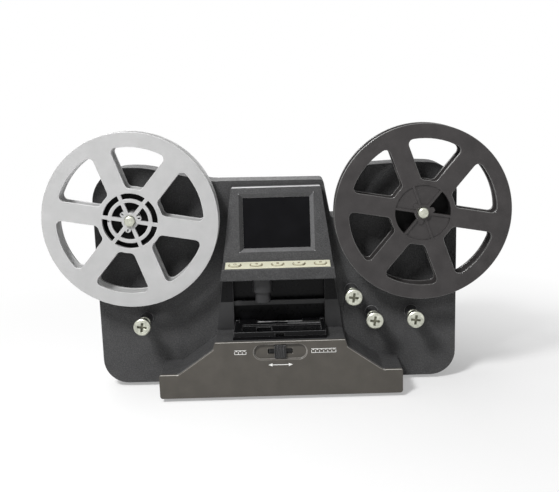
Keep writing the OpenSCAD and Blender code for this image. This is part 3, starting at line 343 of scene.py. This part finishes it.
def soften(name, width, edge, room):
    """Rounds the edges of a node that have room for it, and creases the others."""
    bm = bmesh.new()
    bm.from_mesh(nodes[name].data)
    bmesh.ops.remove_doubles(bm, verts=bm.verts, dist=WELD * MM)
    bmesh.ops.dissolve_limit(bm, angle_limit=math.radians(FLAT_DEG), verts=bm.verts, edges=bm.edges)
    bmesh.ops.connect_verts_concave(bm, faces=bm.faces)
    for face in bm.faces:
        face.smooth = True
        face.material_index = 0
    limit = math.radians(SHARP_DEG)
    sharp = {e for e in bm.edges if len(e.link_faces) == 2 and e.calc_face_angle() > limit}
    for line in bm.edges:
        line.smooth = line not in sharp
    roomy = {e for e in sharp if has_room(e, room * width * MM, sharp)}
    while roomy != sharp:
        sharp = roomy
        roomy = {e for e in sharp if has_room(e, room * width * MM, sharp)}
    for line in sharp:
        line.smooth = True
    bmesh.ops.bevel(bm, geom=list(sharp), offset=width * MM, offset_type="OFFSET", affect="EDGES",
                    profile=0.5, segments=ROUND_STEPS, clamp_overlap=True, loop_slide=True,
                    material=ROUNDED, miter_outer="ARC")
    # A crease that ends at a rounding goes on along the steepest line there
    ends = []
    for vert in bm.verts:
        lines = [e for e in vert.link_edges if len(e.link_faces) == 2]
        if sum(not e.smooth for e in lines) == 1:
            steep = max((e for e in lines if e.smooth), key=lambda e: e.calc_face_angle())
            if steep.calc_face_angle() > math.radians(CREASE_DEG):
                ends.append(steep)
    for line in ends:
        line.smooth = False
    mesh = bpy.data.meshes.new(f"soft_{name}")
    bm.to_mesh(mesh)
    bm.free()
    mesh.materials.append(look_of(name))
    mesh.materials.append(edge)
    obj = linked(f"soft_{name}", mesh)
    fair = obj.modifiers.new("even_shading", "WEIGHTED_NORMAL")
    fair.keep_sharp = True
    fair.weight = FLAT_WEIGHT
    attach(obj, body_of[name])
    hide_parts(name)
    return obj


# Paler copies of the looks for the rounded faces of most pieces: a painted highlight along their edges
plate_edge_highlight = moulded("plate_edge_highlight", (0.2, 0.2, 0.203), 0.34, grain=0.1, grain_scale=1500, level=0.6)
hood_edge_highlight = moulded("hood_edge_highlight", (0.45, 0.45, 0.455), 0.34, grain=0.1, grain_scale=1500, level=0.6)
panel_edge_highlight = moulded("panel_edge_highlight", (0.2, 0.19, 0.175), 0.26, grain=0.05, grain_scale=1500, level=0.7)
silver_edge_highlight = moulded("silver_edge_highlight", (0.5, 0.5, 0.5), 0.3, grain=0.05, grain_scale=1500, level=0.6)
black_edge_highlight = moulded("black_edge_highlight", (0.1, 0.098, 0.095), 0.26, grain=0.08, grain_scale=1500, level=0.8)
gate_edge_highlight = moulded("gate_edge_highlight", (0.075, 0.075, 0.077), 0.24, grain=0.05, grain_scale=1500, level=0.8)
soft_pieces = {}
for name, width, edge, room in (
        ("front_cover", 0.5, plate_edge_highlight, 4.0), ("base_cover", 0.4, plate_edge_highlight, 2.5),
        ("rear_cover", 0.5, plate_edge_highlight, 4.0), ("hood", 0.5, hood_edge_highlight, 1.7),
        ("front_panel", 0.45, panel_edge_highlight, 1.6), ("supply_flange_front", 0.3, silver_edge_highlight, 1.2),
        ("supply_flange_rear", 0.3, silver_edge_highlight, 2.5), ("takeup_flange_front", 0.3, black_edge_highlight, 2.5),
        ("takeup_flange_rear", 0.3, black_edge_highlight, 2.5), ("gate_frame", 0.25, gate_edge_highlight, 1.0),
        ("presser_frame", 0.2, gate_edge_highlight, 1.0), ("select_slider", 0.2, gate_edge_highlight, 1.0),
        ("button_strip", 0.15, cream, 1.0), ("guide_screws", 0.15, nickel, 1.0)):
    soft_pieces[name] = soften(name, width, edge, room)

# The rounded top of the hood takes the pale edge look as a painted highlight. The slopes of the screen
# frame are smoother and painted paler than the hood: painted light, chosen by which way each slope faces
HOOD_TOP_Z = 150.0
WIDE_FACE = 20.0 * MM * MM
slope_lit = moulded("slope_lit", (0.1, 0.1, 0.102), 0.38, grain=0.4, grain_scale=1250, level=0.5,
                    fleck=0.2)
slope_down_lit = moulded("slope_down_lit", (0.075, 0.075, 0.077), 0.4, grain=0.4, grain_scale=1250, level=0.35,
                    fleck=0.2)
hood_mesh = soft_pieces["hood"].data
hood_mesh.materials.append(slope_lit)
hood_mesh.materials.append(slope_down_lit)
for face in hood_mesh.polygons:
    lean = face.normal
    if face.material_index == ROUNDED or lean.y > -0.15 or lean.z > 0.95:
        continue
    if face.center.z > HOOD_TOP_Z * MM and lean.z > 0.35:
        face.material_index = ROUNDED
    elif face.area > WIDE_FACE and (lean.z > 0.6 or lean.x < -0.3):
        face.material_index = PATCH
    elif face.area > WIDE_FACE and lean.z < -0.3:
        face.material_index = PATCH_LOW

# The cheeks beside the film gate are smoother and darker than the plate
cheek_satin = moulded("cheek_satin", (0.03, 0.03, 0.031), 0.34, grain=0.15, grain_scale=1500, level=0.3)
cover = soft_pieces["front_cover"].data
cover.materials.append(cheek_satin)
for face in cover.polygons:
    spot = face.center / MM
    on_cheek = abs(spot.y - CHEEK_FACE_Y) < 0.1
    on_rail = abs(spot.x) < GATE_HALF and RAIL_LOW < spot.z < RAIL_HIGH
    if face.normal.y < -0.99 and (on_cheek or on_rail):
        face.material_index = PATCH

# The front edge of the panel's top and of its steps is painted pale: a painted highlight
LIP = 1.2
STEP_IN_X = 60.0
PANEL_TOP_Z = 44.5
panel_lip_highlight = moulded("panel_lip_highlight", (0.073, 0.067, 0.058), 0.36, grain=0.12, grain_scale=2400, mottle=0.1,
                    level=0.27)
painted_lip_highlight(panel_lip_highlight, (0.8, 0.78, 0.73), PANEL_FACE_Y + LIP)
panel_mesh = soft_pieces["front_panel"].data
panel_mesh.materials.append(panel_lip_highlight)
for face in panel_mesh.polygons:
    spot = face.center / MM
    if face.normal.z > 0.9 and (abs(spot.x) > STEP_IN_X or spot.z > PANEL_TOP_Z - 0.3):
        face.material_index = PATCH

# The cross recesses of the guide screws are painted dark: painted shade in the recesses
recess_painted_shade = metal("recess_painted_shade", (0.17, 0.17, 0.13), 0.5, wear=0.5)
GUIDES = ((-101.2, 54.6), (54.8, 72.6), (70.0, 54.6), (100.0, 54.6))
CROSS_R = 3.65
CROSS_START = 0.1
CROSS_END = 2.5
screws = soft_pieces["guide_screws"].data
screws.materials.append(recess_painted_shade)
head_front = min(v.co.y for v in screws.vertices)
for face in screws.polygons:
    spot = face.center
    away = min(math.hypot(spot.x - x * MM, spot.z - z * MM) for x, z in GUIDES)
    depth = (spot.y - head_front) / MM
    if away < CROSS_R * MM and CROSS_START < depth < CROSS_END:
        face.material_index = PATCH


# The cores of both reels get a thin black sheet: painted shade in the hub recesses
def cup(name, x, z, radius, y_front, y_back, hole, mat, body, count=48):
    """Thin black sheet inside a drum, as painted shade: a wall and a floor with a hole, as one closed
    shell.
    """
    y_floor = y_back - LINER_T
    inside = radius - LINER_T
    rings = [(radius, y_front), (radius, y_back), (hole, y_back), (hole, y_floor), (inside, y_floor),
             (inside, y_front)]
    points = []
    for r, y in rings:
        for k in range(count):
            a = 2 * math.pi * k / count
            points.append(Vector((x + r * math.cos(a), y, z + r * math.sin(a))) * MM)
    faces = []
    for i in range(len(rings)):
        j = (i + 1) % len(rings)
        for k in range(count):
            m = (k + 1) % count
            faces.append((i * count + k, i * count + m, j * count + m, j * count + k))
    mesh = bpy.data.meshes.new(name)
    mesh.from_pydata(points, [], faces)
    bm = bmesh.new()
    bm.from_mesh(mesh)
    bmesh.ops.recalc_face_normals(bm, faces=bm.faces)
    bm.to_mesh(mesh)
    bm.free()
    mesh.materials.append(mat)
    obj = linked(name, mesh)
    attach(obj, body)


hub_shade_black = moulded("hub_shade_black", (0.006, 0.006, 0.006), 0.6, grain=0.1, level=0.15)
for reel, x in (("supply", -REEL_X), ("takeup", REEL_X)):
    drum_low, drum_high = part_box(f"{reel}_drum")
    y_front = drum_low.y / MM + LINER_INSET
    y_back = drum_high.y / MM - LINER_GAP
    cup(f"{reel}_hub_shade_sheet", x, REEL_Z, HUB_R - LINER_GAP, y_front, y_back, LINER_HOLE_R, hub_shade_black,
        f"{reel}_reel")


# Printed marks: thin closed prisms
def print_piece(name, loops, place, mat, body):
    bm = bmesh.new()
    for loop in loops:
        low = [bm.verts.new(place @ Vector((x * MM, y * MM, 0.0))) for x, y in loop]
        high = [bm.verts.new(place @ Vector((x * MM, y * MM, PRINT_T * MM))) for x, y in loop]
        bm.faces.new(list(reversed(low)))
        bm.faces.new(high)
        for i in range(len(loop)):
            j = (i + 1) % len(loop)
            bm.faces.new((low[i], low[j], high[j], high[i]))
    bmesh.ops.recalc_face_normals(bm, faces=bm.faces)
    mesh = bpy.data.meshes.new(name)
    bm.to_mesh(mesh)
    bm.free()
    mesh.materials.append(mat)
    obj = linked(name, mesh)
    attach(obj, body)


def rect(x, y, w, h):
    return [(x - w / 2, y - h / 2), (x + w / 2, y - h / 2), (x + w / 2, y + h / 2), (x - w / 2, y + h / 2)]


def triangle(x, y, w, h):
    return [(x - w / 2, y), (x + w / 2, y - h / 2), (x + w / 2, y + h / 2)]


def film_mark(x, y, w, h, frames):
    """Outline of a strip of film with a row of square holes along its top."""
    line = 0.35
    loops = [rect(x, y + h / 2 - line / 2, w, line), rect(x, y - h / 2 + line / 2, w, line)]
    start = x - w / 2
    pitch = w / frames
    for k in range(frames):
        loops.append(rect(start + (k + 0.5) * pitch, y + h / 2 - 2.2 * line, pitch * 0.4, 1.2 * line))
    for k in range(frames + 1):
        at = start + line / 2 + k * (w - line) / frames
        loops.append(rect(at, y - 1.5 * line, line, h - 3.6 * line))
    return loops


def ring(x, y, rx, ry, line, count=24):
    loops = []
    for k in range(count):
        a = 2 * math.pi * k / count
        b = 2 * math.pi * (k + 1) / count
        inner = [(x + (rx - line) * math.cos(t), y + (ry - line) * math.sin(t)) for t in (a, b)]
        outer = [(x + rx * math.cos(t), y + ry * math.sin(t)) for t in (a, b)]
        loops.append([inner[0], outer[0], outer[1], inner[1]])
    return loops


def stadium_line(w, h, grow, line, count=32):
    """Band round a stadium of w by h: it starts grow outside it and is line wide."""
    rings = []
    for more in (grow, grow + line):
        points = []
        for k in range(count):
            a = 2 * math.pi * (k + 0.5) / count
            shift = math.copysign((w - h) / 2, math.cos(a))
            points.append((shift + (h / 2 + more) * math.cos(a), (h / 2 + more) * math.sin(a)))
        rings.append(points)
    inner, outer = rings
    return [[inner[k], outer[k], outer[(k + 1) % count], inner[(k + 1) % count]] for k in range(count)]


def upright(y):
    """Place of print on a face that looks along -Y: local x is +X and local y is +Z."""
    return Matrix.Translation((0.0, y * MM, 0.0)) @ Matrix.Rotation(math.radians(90), 4, "X")


# Film pictograms and a double arrow by the slider
CHOICE_Z = SELECT_Z - 9.6
panel_place = upright(PANEL_FACE_Y)
print_piece("mark_narrow_film", film_mark(-29.0, SELECT_Z + 0.4, 8.6, 3.2, 3), panel_place, print_white,
            "housing")
print_piece("mark_wide_film", film_mark(31.5, SELECT_Z + 0.4, 18.0, 3.2, 6), panel_place, print_white,
            "housing")
print_piece("mark_choice", [rect(0, CHOICE_Z, 12.0, 0.5), triangle(-7.4, CHOICE_Z, 3.0, 2.4),
                            list(reversed(triangle(7.4, CHOICE_Z, -3.0, 2.4)))],
            panel_place, print_white, "housing")

# Gloss black bands beside the recess under the hood, on the cheeks: painted shade of the hood, drawn as
# thin sheets
BAND_LOW = 66.2
BAND_HIGH = 88.4
BAND_IN = 34.7
BAND_OUT_LOW = 44.2
BAND_OUT_HIGH = 41.3
face_place = upright(CHEEK_FACE_Y)
for side, word in ((-1, "left"), (1, "right")):
    loop = [(side * BAND_IN, BAND_LOW), (side * BAND_OUT_LOW, BAND_LOW),
            (side * BAND_OUT_HIGH, BAND_HIGH), (side * BAND_IN, BAND_HIGH)]
    print_piece(f"painted_shade_band_{word}", [loop], face_place, gate_black, "housing")

# Icons on the five keys and an outline round each of them
ledge_place = Matrix.Translation(Vector(LEDGE_AT) * MM) @ Matrix.Rotation(LEDGE_TILT, 4, "X")
OUTLINE_GAP = 0.55
OUTLINE_W = 0.5
symbols = [
    ring(0, 0, 1.2, 1.2, 0.4),
    [triangle(-0.1, 0, 2.2, 2.2)],
    [rect(0, 0, 1.9, 1.9)],
    [list(reversed(triangle(0.1, 0, -2.2, 2.2)))],
    [rect(0, 0.7, 2.2, 0.4), rect(0, 0, 2.2, 0.4), rect(0, -0.7, 2.2, 0.4)],
]
for i, loops in enumerate(symbols, 1):
    top = ledge_place @ Matrix.Translation(((i - 3) * BUTTON_PITCH * MM, 0, BUTTON_TOP * MM))
    print_piece(f"key_mark_{i}", loops, top, print_brown, f"key_{i}")
    around = ledge_place @ Matrix.Translation(((i - 3) * BUTTON_PITCH * MM, 0, STRIP_TOP * MM))
    print_piece(f"key_outline_{i}", stadium_line(BUTTON_W, BUTTON_D, OUTLINE_GAP, OUTLINE_W), around,
                print_brown, "housing")


# Floor, light and camera
FLOOR_SIZE = 12.0
NEAR_WHITE = 0.35
FADE_START = 0.16
FADE_END = 0.42
WORLD_LIGHT = 0.18
floor_mesh = bpy.data.meshes.new("floor")
half = FLOOR_SIZE / 2
corners = [(-half, -half, 0), (half, -half, 0), (half, half, 0), (-half, half, 0)]
floor_mesh.from_pydata(corners, [], [(0, 1, 2, 3)])
floor_obj = linked("floor", floor_mesh)
floor_mat, floor_tree, floor_bsdf = new_material("floor_pale")
floor_bsdf.inputs["Base Color"].default_value = (0.93, 0.93, 0.93, 1)
floor_bsdf.inputs["Roughness"].default_value = 0.9
floor_bsdf.inputs["Specular IOR Level"].default_value = 0.1
# The floor keeps the shadow near the object and turns to plain white away from it
floor_coords = add(floor_tree, "ShaderNodeTexCoord")
floor_far = add(floor_tree, "ShaderNodeVectorMath", operation="LENGTH")
floor_tree.links.new(floor_coords.outputs["Object"], floor_far.inputs[0])
floor_fade = spread(floor_tree, floor_far.outputs["Value"], NEAR_WHITE, 1.0, FADE_START, FADE_END)
floor_share = add(floor_tree, "ShaderNodeMath", operation="MULTIPLY")
floor_tree.links.new(floor_fade, floor_share.inputs[0])
floor_tree.links.new(seen_rays(floor_tree), floor_share.inputs[1])
floor_white = add(floor_tree, "ShaderNodeEmission")
floor_white.inputs["Color"].default_value = (1, 1, 1, 1)
floor_white.inputs["Strength"].default_value = 1.0
floor_mix = add(floor_tree, "ShaderNodeMixShader")
floor_tree.links.new(floor_share.outputs["Value"], floor_mix.inputs["Fac"])
floor_tree.links.new(floor_bsdf.outputs["BSDF"], floor_mix.inputs[1])
floor_tree.links.new(floor_white.outputs["Emission"], floor_mix.inputs[2])
floor_tree.links.new(floor_mix.outputs["Shader"], floor_tree.nodes["Material Output"].inputs["Surface"])
floor_mesh.materials.append(floor_mat)

AIM = Vector((0.0, 0.0, 0.1))


def area_light(name, toward, distance, size, power):
    data = bpy.data.lights.new(name, "AREA")
    data.shape = "SQUARE"
    data.size = size
    data.energy = power
    obj = linked(name, data)
    spot = Vector(toward).normalized() * distance + AIM
    obj.location = spot
    obj.rotation_euler = (AIM - spot).to_track_quat("-Z", "Y").to_euler()


area_light("key", (-13.0, -22.0, 24.0), 1.1, 0.2, 12.0)
area_light("fill", (20.0, -22.0, 12.0), 1.4, 1.0, 0.2)
area_light("top", (-8.0, -1.0, 20.0), 1.2, 0.9, 2.6)
area_light("rear", (-8.0, 24.0, 14.0), 1.4, 1.0, 5.0)

world = bpy.data.worlds.new("studio")
bpy.context.scene.world = world
world.use_nodes = True
wt = world.node_tree
back = wt.nodes["Background"]
back.inputs["Color"].default_value = (1, 1, 1, 1)
back.inputs["Strength"].default_value = WORLD_LIGHT
white = wt.nodes.new("ShaderNodeBackground")
white.inputs["Color"].default_value = (1, 1, 1, 1)
white.inputs["Strength"].default_value = 1.0
choose = wt.nodes.new("ShaderNodeMixShader")
wt.links.new(seen_rays(wt), choose.inputs["Fac"])
wt.links.new(back.outputs["Background"], choose.inputs[1])
wt.links.new(white.outputs["Background"], choose.inputs[2])
wt.links.new(choose.outputs["Shader"], wt.nodes["World Output"].inputs["Surface"])

camera_data = bpy.data.cameras.new("camera")
camera_data.sensor_fit = "HORIZONTAL"
camera_data.sensor_width = SENSOR_MM
camera_data.lens = FOCAL_PX / IMAGE_W * SENSOR_MM
camera_data.clip_start = 0.01
camera_data.clip_end = 50.0
camera = linked("camera", camera_data)
forward = Vector((math.sin(YAW) * math.cos(PITCH), math.cos(YAW) * math.cos(PITCH), -math.sin(PITCH)))
right = Vector((math.cos(YAW), -math.sin(YAW), 0.0))
up = right.cross(forward)
tilted_right = math.cos(ROLL) * right + math.sin(ROLL) * up
tilted_up = -math.sin(ROLL) * right + math.cos(ROLL) * up
camera.matrix_world = Matrix((
    (tilted_right.x, tilted_up.x, -forward.x, CAMERA_AT.x),
    (tilted_right.y, tilted_up.y, -forward.y, CAMERA_AT.y),
    (tilted_right.z, tilted_up.z, -forward.z, CAMERA_AT.z),
    (0.0, 0.0, 0.0, 1.0)))
scene = bpy.context.scene
scene.camera = camera
scene.view_settings.view_transform = "Standard"
